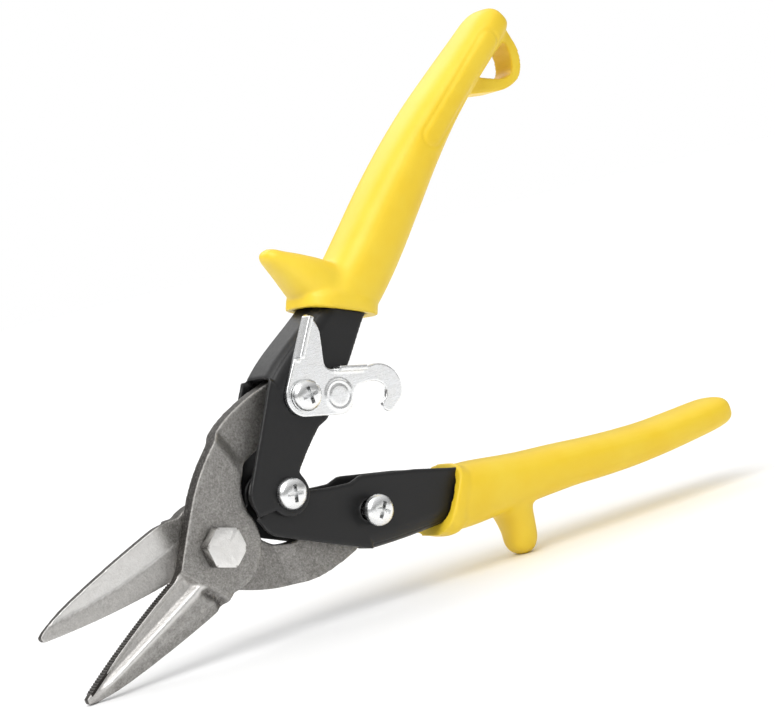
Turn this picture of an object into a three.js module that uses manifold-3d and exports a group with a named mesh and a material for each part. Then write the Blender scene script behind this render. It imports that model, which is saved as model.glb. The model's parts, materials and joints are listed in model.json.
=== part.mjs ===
// Compound-action aviation snips, straight cutting, standing open on a jaw tip and a finger guard.
//
// Everything is drawn in the tool plane: the blade bolt is the origin, x runs back along the line
// from the blade bolt to the handle pivot, z runs towards the upper handle, and y runs away from
// the near face. The drawing is the open, resting pose. The whole tool is then leaned back about y
// and lifted, so that it stands on z = 0. Lengths are millimetres.

import * as THREE from 'three';
import { mergeVertices } from 'three/addons/utils/BufferGeometryUtils.js';
import Module from 'manifold-3d';

const wasm = await Module();
wasm.setup();

// ---- driving dimensions -------------------------------------------------------------------------

const GAP = 0.3; // clearance between touching pieces
const LEAN_DEG = 20.71; // slope of the centre line when the tool stands
const BOLT_HEIGHT = 31.65; // blade bolt above the floor
const MIDDLE_X = 68.81; // from the blade bolt back to the middle of the standing tool

const BLADE_PIVOT = [0, 0];
const HANDLE_PIVOT = [26.3, 0];
const ANCHOR = [46.6, 20.7]; // pin of the upper tang; the lower one is its mirror image

const SHEAR_GAP = 0.15; // each blade keeps this far from the shearing plane y = 0
const BLADE_FACE = 5.5; // outside face of a blade
const EDGE_FACE = 3.8; // outside face left at the cutting edge
const HUB_RADIUS = 13.8;
const TANG_FACE = 2.7; // half thickness of the joggled tang
const TANG_EYE_RADIUS = 7.6;
const OPEN_PIN_CLEARANCE = 1.3; // round the lower tang pin, where the linkage is left open

const SHEET = 1.6; // thickness of the handle and latch stampings
const LOWER_CHEEK = 5.8; // inside face of the lower handle
const UPPER_CHEEK = 7.7; // inside face of the upper handle, which straddles the lower one
const TAIL_CHEEK = 5.6; // inside face of both handles within the grips

const BOLT = { radius: 4.7, flats: 11.4, head: 4.2, tip: 13 };
const BOLT_WASHER = { radius: 8, thickness: 1.5 };
const BOLT_NUT = { flats: 12.7, height: 4.6 };

const SCREW = { radius: 3, headRadius: 4.8, head: 2.9 };
const CATCH_SHANK_RADIUS = 2.6;
const SCREW_NUT = { flats: 9.5, height: 4, proud: 0.8 };
const RECESS = { length: 5.6, width: 1.2, depth: 1.6 };
const SPACER_RADIUS = 5;
const SLEEVE_RADIUS = 4.2;

const SPRING = { radius: 5.9, wire: 1.5, turns: 4 + 104 / 360, halfLength: 4.25, leg: 11 };

const LATCH_NEAR = -(UPPER_CHEEK + SHEET + GAP + SHEET); // near face of the latch plate
const LATCH_EYE_RADIUS = 6.3;
const HOOK = { x: 22.1, z: -13.2, radius: 8 }; // outside of the hook, from the latch pin

const GUARD_HALF_WIDTH = 4.5;
const HANG_LOOP_HALF_WIDTH = 5;

const ROUND = 32; // sides of a round pin or hole

// ---- finishes -----------------------------------------------------------------------------------

const finish = (color, roughness, metalness) => () =>
  new THREE.MeshStandardMaterial({ color, roughness, metalness });
const forgedSteel = finish(0x8d8a86, 0.45, 0.9);
const blackCoat = finish(0x1d1d1e, 0.5, 0.2);
const brightZinc = finish(0xd4d6d8, 0.3, 0.95);
const springSteel = finish(0x3b3b3d, 0.4, 0.9);
const yellowGrip = finish(0xf5c518, 0.5, 0);

// ---- making solids ------------------------------------------------------------------------------

function solidOf(geometry) {
  geometry.deleteAttribute('normal');
  geometry.deleteAttribute('uv');
  const merged = mergeVertices(geometry, 1e-4);
  return new wasm.Manifold(
    new wasm.Mesh({
      numProp: 3,
      vertProperties: Float32Array.from(merged.attributes.position.array),
      triVerts: Uint32Array.from(merged.index.array),
    }),
  );
}

function geometryOf(solid) {
  const mesh = solid.getMesh();
  const geometry = new THREE.BufferGeometry();
  geometry.setAttribute('position', new THREE.BufferAttribute(mesh.vertProperties, 3));
  geometry.setIndex(new THREE.BufferAttribute(mesh.triVerts, 1));
  geometry.computeVertexNormals();
  return geometry;
}

// An outline in the tool plane, thickened from a near y to a far y.
function plate(shape, near, far) {
  const depth = far - near;
  const geometry = new THREE.ExtrudeGeometry(shape, { depth, bevelEnabled: false, curveSegments: 8 });
  geometry.rotateX(Math.PI / 2);
  geometry.translate(0, far, 0);
  return solidOf(geometry);
}

const polygon = (points) => new THREE.Shape(points.map(([x, z]) => new THREE.Vector2(x, z)));
const mirrored = ([x, z]) => [x, -z];
const turnedOver = (solid) => solid.rotate([180, 0, 0]); // swaps up with down and near with far

// A bar along y between two depths.
function rod([x, z], radius, near, far, sides = ROUND) {
  const geometry = new THREE.CylinderGeometry(radius, radius, far - near, sides);
  geometry.translate(x, (near + far) / 2, z);
  return solidOf(geometry);
}

const hexagon = (centre, flats, near, far) => rod(centre, flats / Math.sqrt(3), near, far, 6);
const through = (centre, radius) => rod(centre, radius, -20, 20);

function ring(centre, outer, inner, near, far) {
  return rod(centre, outer, near, far).subtract(through(centre, inner));
}

// Two cheeks of the same outline, either side of the centre plane.
function cheeks(shape, inside, outside) {
  return plate(shape, -outside, -inside).add(plate(shape, inside, outside));
}

// Both edges of a band about a centre line of stations: x, z and half depth.
function bandEdges(stations, grow) {
  const upper = [];
  const lower = [];
  stations.forEach(([x, z, half], i) => {
    const before = stations[Math.max(i - 1, 0)];
    const after = stations[Math.min(i + 1, stations.length - 1)];
    const slope = Math.atan2(after[1] - before[1], after[0] - before[0]);
    const reach = half + grow;
    upper.push([x - reach * Math.sin(slope), z + reach * Math.cos(slope)]);
    lower.push([x + reach * Math.sin(slope), z - reach * Math.cos(slope)]);
  });
  return { upper, lower };
}

function band(stations, grow = 0) {
  const { upper, lower } = bandEdges(stations, grow);
  return polygon([...lower, ...upper.reverse()]);
}

// A strip of sheet lying under an edge line, seen edge on.
function sheetUnder(edge) {
  const centre = edge.map(([x, z]) => [x, z, 0]);
  const { lower } = bandEdges(centre, SHEET);
  return polygon([...lower, ...[...edge].reverse()]);
}

// ---- blades -------------------------------------------------------------------------------------

// Lower jaw, hub and the start of the tang that rises into the upper handle.
function bladeOutline() {
  const shape = new THREE.Shape();
  shape.moveTo(-57.4, -9.4);
  shape.lineTo(-17, -0.6);
  shape.lineTo(-14.5, 0.8);
  shape.quadraticCurveTo(-7, 8.6, 0, 15.1);
  shape.quadraticCurveTo(9.5, 23.6, 22, 27.2);
  shape.lineTo(24, 27.6);
  shape.lineTo(24, 14.4);
  shape.quadraticCurveTo(16.5, 13.2, HUB_RADIUS * Math.cos(0.2), HUB_RADIUS * Math.sin(0.2));
  shape.absarc(0, 0, HUB_RADIUS, 0.2, -2, true);
  shape.quadraticCurveTo(-12, -14.9, -20, -14.9);
  shape.quadraticCurveTo(-40, -14.8, -52.8, -13.4);
  shape.quadraticCurveTo(-56.9, -12.9, -57.7, -11.3);
  shape.closePath();
  return shape;
}

function tangOutline() {
  const [x, z] = ANCHOR;
  const shape = new THREE.Shape();
  shape.moveTo(17, 25.6);
  shape.quadraticCurveTo(30, 29.8, x - 1.2, z + TANG_EYE_RADIUS);
  shape.absarc(x, z, TANG_EYE_RADIUS, 1.7, -1.9, true);
  shape.quadraticCurveTo(34, 15.2, 26, 14.5);
  shape.quadraticCurveTo(20, 14, 17, 12.2);
  shape.closePath();
  return shape;
}

// The outer face of the jaw falls away from a ridge towards the cutting edge.
function jawHollow() {
  const length = 56;
  const ridgeDrop = 5.2; // from the cutting edge down to the ridge
  const shape = new THREE.Shape();
  shape.moveTo(-BLADE_FACE - 1, 5);
  shape.lineTo(-EDGE_FACE, 5);
  shape.lineTo(-EDGE_FACE, -0.8);
  shape.lineTo(-BLADE_FACE, -ridgeDrop);
  shape.lineTo(-BLADE_FACE - 1, -ridgeDrop - 1);
  shape.closePath();
  const geometry = new THREE.ExtrudeGeometry(shape, { depth: length, bevelEnabled: false });
  const acrossUpAlong = new THREE.Matrix4().makeBasis(
    new THREE.Vector3(0, 1, 0),
    new THREE.Vector3(0, 0, 1),
    new THREE.Vector3(1, 0, 0),
  );
  geometry.applyMatrix4(acrossUpAlong);
  geometry.translate(-length, 0, 0);
  geometry.rotateY(-THREE.MathUtils.degToRad(12.3));
  geometry.translate(-14, 0, 0);
  return solidOf(geometry);
}

function blade(pinRadius) {
  return plate(bladeOutline(), -BLADE_FACE, -SHEAR_GAP)
    .subtract(jawHollow())
    .add(plate(tangOutline(), -TANG_FACE, TANG_FACE))
    .subtract(through(BLADE_PIVOT, BOLT.radius + GAP))
    .subtract(through(ANCHOR, pinRadius));
}

// ---- handles ------------------------------------------------------------------------------------

const WEB_START = [41.4, 31.2]; // ahead of this the handle is two bare cheeks
const WEB_END = [69, 40.9];
const INNER_EDGE_END = [80.5, 29.2];

function cheekOutline() {
  const shape = new THREE.Shape();
  shape.moveTo(13.9, 0.4);
  shape.lineTo(14.4, 4.2);
  shape.quadraticCurveTo(15, 7, 17.2, 9);
  shape.lineTo(...WEB_START);
  shape.quadraticCurveTo(54, 36.6, ...WEB_END);
  shape.lineTo(...INNER_EDGE_END);
  shape.lineTo(67, 20.2);
  shape.lineTo(51, 10.8);
  shape.lineTo(49.6, 10.2);
  shape.lineTo(45.8, 10);
  shape.quadraticCurveTo(38, 6.6, 32.6, 3.2);
  shape.absarc(...HANDLE_PIVOT, 6.7, 0.25, -2.95, true);
  shape.closePath();
  return shape;
}

function frontWebEdge() {
  const start = new THREE.Vector2(...WEB_START);
  const end = new THREE.Vector2(...WEB_END);
  const curve = new THREE.QuadraticBezierCurve(start, new THREE.Vector2(54, 36.6), end);
  return curve.getPoints(6).map((point) => [point.x, point.y]);
}

// Centre line of the narrow tail inside the grip: x, z and half depth.
const TAIL = [
  [72, 32.2, 6.8],
  [86, 37.6, 5.4],
  [98, 43.2, 5],
  [112, 50.4, 4.8],
  [126, 57.1, 4.6],
  [140, 63.1, 4.4],
  [155, 68.4, 4.2],
  [165, 71.5, 4],
];

// Where the wide front of the section necks in to the tail.
const NECK = [
  [67, 40],
  [WEB_END[0] + 2.5, 38.2],
  [78, 31],
  [73.6, 24.8],
  [70.6, 23],
];

function handle(cheek, pivotRadius) {
  const outside = cheek + SHEET;
  const tailOutside = TAIL_CHEEK + SHEET;
  return cheeks(cheekOutline(), cheek, outside)
    .add(plate(sheetUnder(frontWebEdge()), -outside, outside))
    .add(cheeks(polygon(NECK), TAIL_CHEEK, outside))
    .add(cheeks(band(TAIL), TAIL_CHEEK, tailOutside))
    .add(plate(sheetUnder(bandEdges(TAIL, 0).upper), -tailOutside, tailOutside))
    .subtract(through(HANDLE_PIVOT, pivotRadius))
    .subtract(through(ANCHOR, SCREW.radius + GAP));
}

// ---- grips --------------------------------------------------------------------------------------

// Grip centre line, from inside the collar to the end: x, z, half depth and half width.
const GRIP = [
  [66, 31.2, 9.4, 11.2],
  [78, 35.2, 9.4, 11.2],
  [88, 38.9, 8.7, 11.2],
  [98, 43.2, 7.7, 11.3],
  [112, 50.4, 7.1, 11.4],
  [126, 57.1, 6.9, 11.4],
  [140, 63.1, 6.8, 11.3],
  [155, 68.4, 6.5, 10.9],
  [168, 72.4, 6.2, 10],
  [175, 74.6, 5.5, 8.6],
  [179, 75.8, 4, 6],
  [180.2, 76.2, 2.2, 3.2],
];

// Flange round the mouth. Its front face slants, square to this line.
const COLLAR = [
  [71.6, 35.3, 12.1, 12],
  [73.9, 37.8, 12.1, 12],
  [76.2, 40.35, 9.4, 10.4],
];

// A rounded square section carried along the stations and closed flat at both ends.
function loft(stations) {
  const sides = 16;
  const squareness = 0.55;
  const soften = (value) => Math.sign(value) * Math.abs(value) ** squareness;
  const positions = [];
  stations.forEach(([x, z, half, width], i) => {
    const before = stations[Math.max(i - 1, 0)];
    const after = stations[Math.min(i + 1, stations.length - 1)];
    const slope = Math.atan2(after[1] - before[1], after[0] - before[0]);
    for (let k = 0; k < sides; k += 1) {
      const turn = ((k + 0.5) / sides) * 2 * Math.PI;
      const rise = soften(Math.sin(turn)) * half;
      positions.push(x - rise * Math.sin(slope), soften(Math.cos(turn)) * width, z + rise * Math.cos(slope));
    }
  });
  const faces = [];
  const last = (stations.length - 1) * sides;
  for (let start = 0; start < last; start += sides) {
    for (let k = 0; k < sides; k += 1) {
      const a = start + k;
      const b = start + ((k + 1) % sides);
      faces.push(a, b, a + sides, b, b + sides, a + sides);
    }
  }
  for (let k = 1; k < sides - 1; k += 1) {
    faces.push(0, k + 1, k, last, last + k, last + k + 1);
  }
  const geometry = new THREE.BufferGeometry();
  geometry.setAttribute('position', new THREE.Float32BufferAttribute(positions, 3));
  geometry.setIndex(faces);
  return solidOf(geometry);
}

// Room for the handle: its wide front at the mouth, then the narrow tail.
function handlePocket(cheek) {
  const wide = cheek + SHEET + GAP;
  const narrow = TAIL_CHEEK + SHEET + GAP;
  const mouth = [
    [40, 31.2],
    [54, 37],
    [WEB_END[0] + 0.3, WEB_END[1] + 0.5],
    [INNER_EDGE_END[0] + 1, INNER_EDGE_END[1]],
    [67.2, 19.8],
    [51, 10.3],
    [40, 8],
  ];
  const [x, z, half] = TAIL[TAIL.length - 1];
  const stations = [...TAIL, [x + 0.6, z + 0.2, half]];
  return plate(polygon(mouth), -wide, wide).add(plate(band(stations, GAP), -narrow, narrow));
}

// Everything ahead of the slanting front face of the collar.
function aheadOfMouth() {
  return plate(polygon([[50.6, 54.2], [40, 60], [40, 8], [70, 8], [98.6, 11]]), -20, 20);
}

function gripBody() {
  return loft(GRIP).subtract(aheadOfMouth()).add(loft(COLLAR));
}

function upperGuard() {
  const shape = new THREE.Shape();
  shape.moveTo(67, 41);
  shape.quadraticCurveTo(65, 48, 63, 54.6);
  shape.quadraticCurveTo(61.8, 59.2, 66, 59.4);
  shape.quadraticCurveTo(70.4, 58.8, 76, 52.6);
  shape.quadraticCurveTo(80.4, 47.8, 87, 47.4);
  shape.lineTo(90, 42);
  shape.closePath();
  return plate(shape, -GUARD_HALF_WIDTH, GUARD_HALF_WIDTH);
}

function lowerGuard() {
  const shape = new THREE.Shape();
  shape.moveTo(79.6, 42);
  shape.quadraticCurveTo(82.6, 50, 82.8, 58.4);
  shape.quadraticCurveTo(82.8, 66.3, 86.4, 66.3);
  shape.quadraticCurveTo(88.8, 65.6, 91.4, 59);
  shape.quadraticCurveTo(93.6, 53.4, 100, 53.6);
  shape.lineTo(102, 46);
  shape.closePath();
  return plate(shape, -GUARD_HALF_WIDTH, GUARD_HALF_WIDTH);
}

// D-shaped loop under the end of the upper grip, to hang the tool by.
function hangLoop() {
  const shape = new THREE.Shape();
  shape.moveTo(151, 62.4);
  shape.lineTo(163.5, 55);
  shape.quadraticCurveTo(170, 52.4, 174.4, 55.6);
  shape.quadraticCurveTo(178.6, 59, 179.2, 65);
  shape.lineTo(178.4, 74);
  shape.lineTo(168, 70);
  shape.closePath();
  const hole = new THREE.Path();
  hole.moveTo(160.5, 62.4);
  hole.lineTo(166, 58.4);
  hole.quadraticCurveTo(170.6, 56.2, 173, 58.4);
  hole.quadraticCurveTo(175.4, 61, 175.6, 67.6);
  hole.closePath();
  shape.holes.push(hole);
  return plate(shape, -HANG_LOOP_HALF_WIDTH, HANG_LOOP_HALF_WIDTH);
}

// ---- latch --------------------------------------------------------------------------------------

// Drawn from the latch pin, hook forwards of the handles and thumb arm along them.
function latchOutline() {
  const shape = new THREE.Shape();
  shape.absarc(0, 0, LATCH_EYE_RADIUS, 2.3, 4.1, false);
  shape.lineTo(6.6, -11.4);
  shape.quadraticCurveTo(10.6, -13.4, 13, -10.4);
  shape.quadraticCurveTo(14.4, -7.4, 17.6, -8);
  shape.quadraticCurveTo(20.6, -8.8, 22.6, -10.3);
  shape.quadraticCurveTo(26, -13.4, 22.8, -16.1);
  shape.absarc(22.3, -18.4, 2.2, 2.4, 5.2, false);
  shape.absarc(HOOK.x, HOOK.z, HOOK.radius, -0.85, 1.4, false);
  shape.lineTo(12.4, 1);
  shape.quadraticCurveTo(10.2, 2.2, 11.1, 4.4);
  shape.lineTo(15, 11.8);
  shape.quadraticCurveTo(16.6, 15.4, 14.6, 19);
  shape.lineTo(13.6, 19);
  shape.closePath();
  return shape;
}

// A lip of sheet turned out from the plate towards the near side, along a straight edge.
function turnedLip([x0, z0], [x1, z1], height) {
  const slope = Math.atan2(z1 - z0, x1 - x0);
  const [dx, dz] = [SHEET * Math.sin(slope), -SHEET * Math.cos(slope)];
  const strip = [[x0, z0], [x1, z1], [x1 + dx, z1 + dz], [x0 + dx, z0 + dz]];
  return plate(polygon(strip.reverse()), LATCH_NEAR - height, LATCH_NEAR + SHEET);
}

function latch() {
  const [x, z] = ANCHOR;
  return plate(latchOutline(), LATCH_NEAR, LATCH_NEAR + SHEET)
    .add(turnedLip([3.4, 10.6], [13.6, 19], 3.2))
    .add(turnedLip([13.4, 1.2], [21.4, -3.8], 3.2))
    .add(rod([9.6, -6.4], 4.6, LATCH_NEAR - 0.35, LATCH_NEAR + SHEET / 2))
    .translate([x, 0, z])
    .subtract(through(ANCHOR, SCREW.radius + GAP));
}

// ---- fasteners and spring -----------------------------------------------------------------------

function bladeBolt() {
  const headBack = -BLADE_FACE - GAP;
  return hexagon(BLADE_PIVOT, BOLT.flats, headBack - BOLT.head, headBack)
    .add(rod(BLADE_PIVOT, BOLT.radius, headBack - 1, BOLT.tip));
}

function crossRecess([x, z], face, turn) {
  const bars = [0, 90].map((angle) => {
    const geometry = new THREE.BoxGeometry(RECESS.length, 2 * RECESS.depth, RECESS.width);
    geometry.rotateY(THREE.MathUtils.degToRad(turn + angle));
    geometry.translate(x, face, z);
    return solidOf(geometry);
  });
  return bars[0].add(bars[1]);
}

// Pan head towards the near side, shank running to the far side.
function panScrew(centre, headBack, tip, turn, neck = SCREW.radius, shank = SCREW.radius) {
  const [x, z] = centre;
  const face = headBack - SCREW.head;
  const profile = [
    [0, face],
    [2.4, face],
    [3.9, face + 0.7],
    [SCREW.headRadius, face + 1.9],
    [SCREW.headRadius, headBack],
    [0, headBack],
  ].map(([r, y]) => new THREE.Vector2(r, y));
  const head = new THREE.LatheGeometry(profile, ROUND);
  head.translate(x, 0, z);
  const neckEnd = -LOWER_CHEEK - SHEET - GAP;
  return solidOf(head)
    .add(rod(centre, neck, headBack - 1, Math.max(neckEnd, headBack)))
    .add(rod(centre, shank, headBack - 1, tip))
    .subtract(crossRecess(centre, face, turn));
}

function nut(centre, flats, bore, near, height) {
  return hexagon(centre, flats, near, near + height).subtract(through(centre, bore));
}

// A torsion spring round the handle sleeve with one leg lying in each handle.
function torsionSpring() {
  const [hx, hz] = HANDLE_PIVOT;
  const start = -THREE.MathUtils.degToRad(128);
  const turned = SPRING.turns * 2 * Math.PI;
  const steps = 40;
  const at = (share) => {
    const angle = start - share * turned;
    const y = SPRING.halfLength * (2 * share - 1);
    return new THREE.Vector3(hx + SPRING.radius * Math.cos(angle), y, hz + SPRING.radius * Math.sin(angle));
  };
  const legReach = (sign) => new THREE.Vector3(
    SPRING.leg * Math.cos(0.663),
    0,
    sign * SPRING.leg * Math.sin(0.663),
  );
  const coil = Array.from({ length: steps + 1 }, (_, i) => at(i / steps));
  const points = [coil[0].clone().add(legReach(-1)), ...coil, coil[steps].clone().add(legReach(1))];
  const route = new THREE.CatmullRomCurve3(points, false, 'centripetal');
  const wire = new THREE.Shape();
  wire.absarc(0, 0, SPRING.wire / 2, 0, 2 * Math.PI, false);
  const geometry = new THREE.ExtrudeGeometry(wire, {
    steps: 72,
    curveSegments: 4,
    bevelEnabled: false,
    extrudePath: route,
  });
  return solidOf(geometry);
}

// ---- the assembly -------------------------------------------------------------------------------

const upperOutside = UPPER_CHEEK + SHEET;
const lowerOutside = LOWER_CHEEK + SHEET;
const LOWER_ANCHOR = mirrored(ANCHOR);
const washerBack = BLADE_FACE + GAP + BOLT_WASHER.thickness;
const nutTip = (seat) => seat + GAP + SCREW_NUT.height + SCREW_NUT.proud;
const screwNut = (centre, seat, bore) => nut(centre, SCREW_NUT.flats, bore + GAP, seat + GAP, SCREW_NUT.height);
const spacer = (centre, bore, near, far) => ring(centre, SPACER_RADIUS, bore + GAP, near, far);

const pieces = [
  ['near_blade', forgedSteel, blade(SCREW.radius + GAP)],
  ['far_blade', forgedSteel, turnedOver(blade(CATCH_SHANK_RADIUS + OPEN_PIN_CLEARANCE))],
  ['blade_bolt', forgedSteel, bladeBolt()],
  [
    'blade_bolt_washer',
    forgedSteel,
    ring(BLADE_PIVOT, BOLT_WASHER.radius, BOLT.radius + GAP, BLADE_FACE + GAP, washerBack),
  ],
  [
    'blade_bolt_nut',
    forgedSteel,
    nut(BLADE_PIVOT, BOLT_NUT.flats, BOLT.radius + GAP, washerBack + GAP, BOLT_NUT.height),
  ],
  ['upper_handle', blackCoat, handle(UPPER_CHEEK, SCREW.radius + GAP)],
  ['lower_handle', blackCoat, turnedOver(handle(LOWER_CHEEK, SLEEVE_RADIUS + GAP))],
  [
    'upper_grip',
    yellowGrip,
    gripBody().add(upperGuard()).add(hangLoop()).subtract(handlePocket(UPPER_CHEEK)),
  ],
  [
    'lower_grip',
    yellowGrip,
    turnedOver(gripBody().add(lowerGuard()).subtract(handlePocket(LOWER_CHEEK))),
  ],
  [
    'handle_pivot_sleeve',
    springSteel,
    ring(HANDLE_PIVOT, SLEEVE_RADIUS, SCREW.radius + GAP, GAP - UPPER_CHEEK, UPPER_CHEEK - GAP),
  ],
  [
    'handle_pivot_screw',
    brightZinc,
    panScrew(HANDLE_PIVOT, -upperOutside - GAP, nutTip(upperOutside), 12),
  ],
  ['handle_pivot_nut', brightZinc, screwNut(HANDLE_PIVOT, upperOutside, SCREW.radius)],
  ['handle_spring', springSteel, torsionSpring()],
  ['latch', brightZinc, latch()],
  ['latch_screw', brightZinc, panScrew(ANCHOR, LATCH_NEAR - GAP, nutTip(upperOutside), 33)],
  ['latch_screw_nut', brightZinc, screwNut(ANCHOR, upperOutside, SCREW.radius)],
  [
    'upper_tang_spacer_near',
    springSteel,
    spacer(ANCHOR, SCREW.radius, GAP - UPPER_CHEEK, -TANG_FACE - GAP),
  ],
  [
    'upper_tang_spacer_far',
    springSteel,
    spacer(ANCHOR, SCREW.radius, TANG_FACE + GAP, UPPER_CHEEK - GAP),
  ],
  [
    'catch_screw',
    brightZinc,
    panScrew(LOWER_ANCHOR, LATCH_NEAR - GAP, nutTip(lowerOutside), -8, SCREW.radius, CATCH_SHANK_RADIUS),
  ],
  ['catch_screw_nut', brightZinc, screwNut(LOWER_ANCHOR, lowerOutside, CATCH_SHANK_RADIUS)],
  [
    'lower_tang_spacer_near',
    springSteel,
    spacer(LOWER_ANCHOR, CATCH_SHANK_RADIUS, GAP - LOWER_CHEEK, -TANG_FACE - GAP),
  ],
  [
    'lower_tang_spacer_far',
    springSteel,
    spacer(LOWER_ANCHOR, CATCH_SHANK_RADIUS, TANG_FACE + GAP, LOWER_CHEEK - GAP),
  ],
];

const tool = new THREE.Group();
tool.rotation.y = -THREE.MathUtils.degToRad(LEAN_DEG);
tool.position.set(-MIDDLE_X, 0, BOLT_HEIGHT);
for (const [name, material, solid] of pieces) {
  const mesh = new THREE.Mesh(geometryOf(solid), material());
  mesh.name = name;
  tool.add(mesh);
}

const snips = new THREE.Group();
snips.add(tool);

export default snips;
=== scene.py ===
# %% [markdown]
# Aviation snips: two forged blades that cross at a bolt, two pressed steel handles in soft yellow
# grips, a torsion spring, a latch and their screws. The CAD model fixes where everything is and how
# it turns. This notebook gives each piece its finished shape and surface. The first cell loads the
# CAD model and its joints, and can read the box of each of its parts.

import json
import math

import bmesh
import bpy
import numpy as np
from mathutils import Matrix, Vector


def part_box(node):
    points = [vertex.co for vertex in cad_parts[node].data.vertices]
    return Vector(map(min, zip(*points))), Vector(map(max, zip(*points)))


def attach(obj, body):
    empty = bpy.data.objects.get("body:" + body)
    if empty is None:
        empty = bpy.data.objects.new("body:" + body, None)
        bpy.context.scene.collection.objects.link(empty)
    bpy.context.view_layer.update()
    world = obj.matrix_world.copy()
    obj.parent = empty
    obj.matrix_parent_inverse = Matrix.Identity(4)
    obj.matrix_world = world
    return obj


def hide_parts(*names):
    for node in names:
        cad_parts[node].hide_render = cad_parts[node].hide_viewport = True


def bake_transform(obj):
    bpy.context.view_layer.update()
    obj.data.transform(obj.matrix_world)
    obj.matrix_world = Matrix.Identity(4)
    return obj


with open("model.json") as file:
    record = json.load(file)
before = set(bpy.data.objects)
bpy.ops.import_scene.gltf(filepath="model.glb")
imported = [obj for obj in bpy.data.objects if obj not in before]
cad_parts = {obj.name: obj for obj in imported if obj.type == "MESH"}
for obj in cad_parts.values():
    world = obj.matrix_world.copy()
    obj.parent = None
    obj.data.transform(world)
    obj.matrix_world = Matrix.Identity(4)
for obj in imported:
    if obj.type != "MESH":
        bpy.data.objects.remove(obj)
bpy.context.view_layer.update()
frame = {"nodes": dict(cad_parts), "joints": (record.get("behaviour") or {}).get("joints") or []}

# %% [markdown]
# The tool leans back on a jaw tip and a finger guard, which is awkward to draw in. So pieces are
# drawn in millimetres in the plane of the tool: x runs back from the blade bolt to the handle pivot,
# z runs towards the upper handle, and y runs away from the latch side. Both axes come from the
# joints. One matrix then carries a finished mesh into the frame, in metres.

# %% The drawing plane
MM = 0.001
joint_at = {joint["name"]: Vector(joint["pos_m"]) for joint in frame["joints"]}
bolt_at = joint_at["blade_hinge"]
along = (joint_at["handle_hinge"] - bolt_at).normalized()
across = Vector((0, 1, 0))
rise = along.cross(across)
axes = Matrix((along, across, rise)).transposed() * MM
DRAWING = Matrix.Translation(bolt_at) @ axes.to_4x4()
pivot = DRAWING.inverted() @ joint_at["handle_hinge"]
anchor = DRAWING.inverted() @ joint_at["latch_hinge"]
BOLT = (0, 0)
PIVOT = (pivot.x, pivot.z)
ANCHOR = (anchor.x, anchor.z)
CATCH = (anchor.x, -anchor.z)
print("pivot", [round(c, 2) for c in PIVOT], "upper pin", [round(c, 2) for c in ANCHOR])

# %% [markdown]
# Every piece starts as a simple closed mesh. A traced outline mixes straight lines, curves with one
# control point and arcs, so a shape needs few points. A prism thickens an outline along y, and a
# lathe turns a profile round a y axis, which suits screws, washers and bushes.

# %% Outlines, prisms and turned pieces
def trace(*steps, parts=10):
    """Points of an outline: (x, z) is a line's end, (cx, cz, x, z) a curve, a list is taken as it is."""
    points = []
    for step in steps:
        if isinstance(step, list):
            points += step
        elif len(step) == 2:
            points.append(step)
        else:
            start, control, end = Vector(points[-1]), Vector(step[:2]), Vector(step[2:])
            for k in range(1, parts + 1):
                first, last = start.lerp(control, k / parts), control.lerp(end, k / parts)
                points.append(tuple(first.lerp(last, k / parts)))
    return points


def arc(centre, radius, first, last, parts=24):
    turns = [first + (last - first) * k / parts for k in range(parts + 1)]
    return [(centre[0] + radius * math.cos(t), centre[1] + radius * math.sin(t)) for t in turns]


def solid(name, vertices, faces):
    mesh = bpy.data.meshes.new(name)
    mesh.from_pydata([tuple(v) for v in vertices], [], faces)
    shape = bmesh.new()
    shape.from_mesh(mesh)
    bmesh.ops.remove_doubles(shape, verts=shape.verts, dist=1e-4)
    bmesh.ops.recalc_face_normals(shape, faces=shape.faces)
    shape.to_mesh(mesh)
    shape.free()
    piece = bpy.data.objects.new(name, mesh)
    bpy.context.scene.collection.objects.link(piece)
    return piece


def prism(name, outline, near, far):
    n = len(outline)
    vertices = [(x, near, z) for x, z in outline] + [(x, far, z) for x, z in outline]
    walls = [(k, (k + 1) % n, (k + 1) % n + n, k + n) for k in range(n)]
    return solid(name, vertices, [tuple(range(n)), tuple(range(n, 2 * n))] + walls)


def lathe(name, centre, profile, sides=64):
    """Turns (radius, y) points round the y axis through centre. The profile closes on itself."""
    vertices = []
    for k in range(sides):
        turn = 2 * math.pi * k / sides
        for radius, y in profile:
            vertices.append((centre[0] + radius * math.cos(turn), y, centre[1] + radius * math.sin(turn)))
    n = len(profile)
    faces = []
    for k in range(sides):
        here, there = k * n, (k + 1) % sides * n
        faces += [(here + j, here + (j + 1) % n, there + (j + 1) % n, there + j) for j in range(n)]
    return solid(name, vertices, faces)


def rod(centre, radius, near, far, sides=64):
    return prism("rod", arc(centre, radius, 0, 2 * math.pi * (1 - 1 / sides), sides - 1), near, far)


# %% [markdown]
# Pieces are joined and cut with the Boolean modifier. Real forged, pressed and moulded edges are
# never sharp, and bevels are fragile after many cuts. A voxel remesh gives an even mesh whatever
# the cuts were, and relaxing it, which moves each point towards its neighbours, rounds every edge
# and fillets every corner. The even mesh can also be pushed about point by point, like clay.

# %% Joining, cutting and rounding
def settle(piece):
    """Applies the piece's modifiers."""
    bpy.context.view_layer.update()
    graph = bpy.context.evaluated_depsgraph_get()
    mesh = bpy.data.meshes.new_from_object(piece.evaluated_get(graph))
    piece.modifiers.clear()
    piece.data = mesh
    return piece


def combine(piece, other, operation="UNION"):
    boolean = piece.modifiers.new("combine", "BOOLEAN")
    boolean.operation = operation
    boolean.solver = "EXACT"
    boolean.object = other
    settle(piece)
    bpy.data.objects.remove(other)
    return piece


def cut(piece, other):
    return combine(piece, other, "DIFFERENCE")


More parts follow.
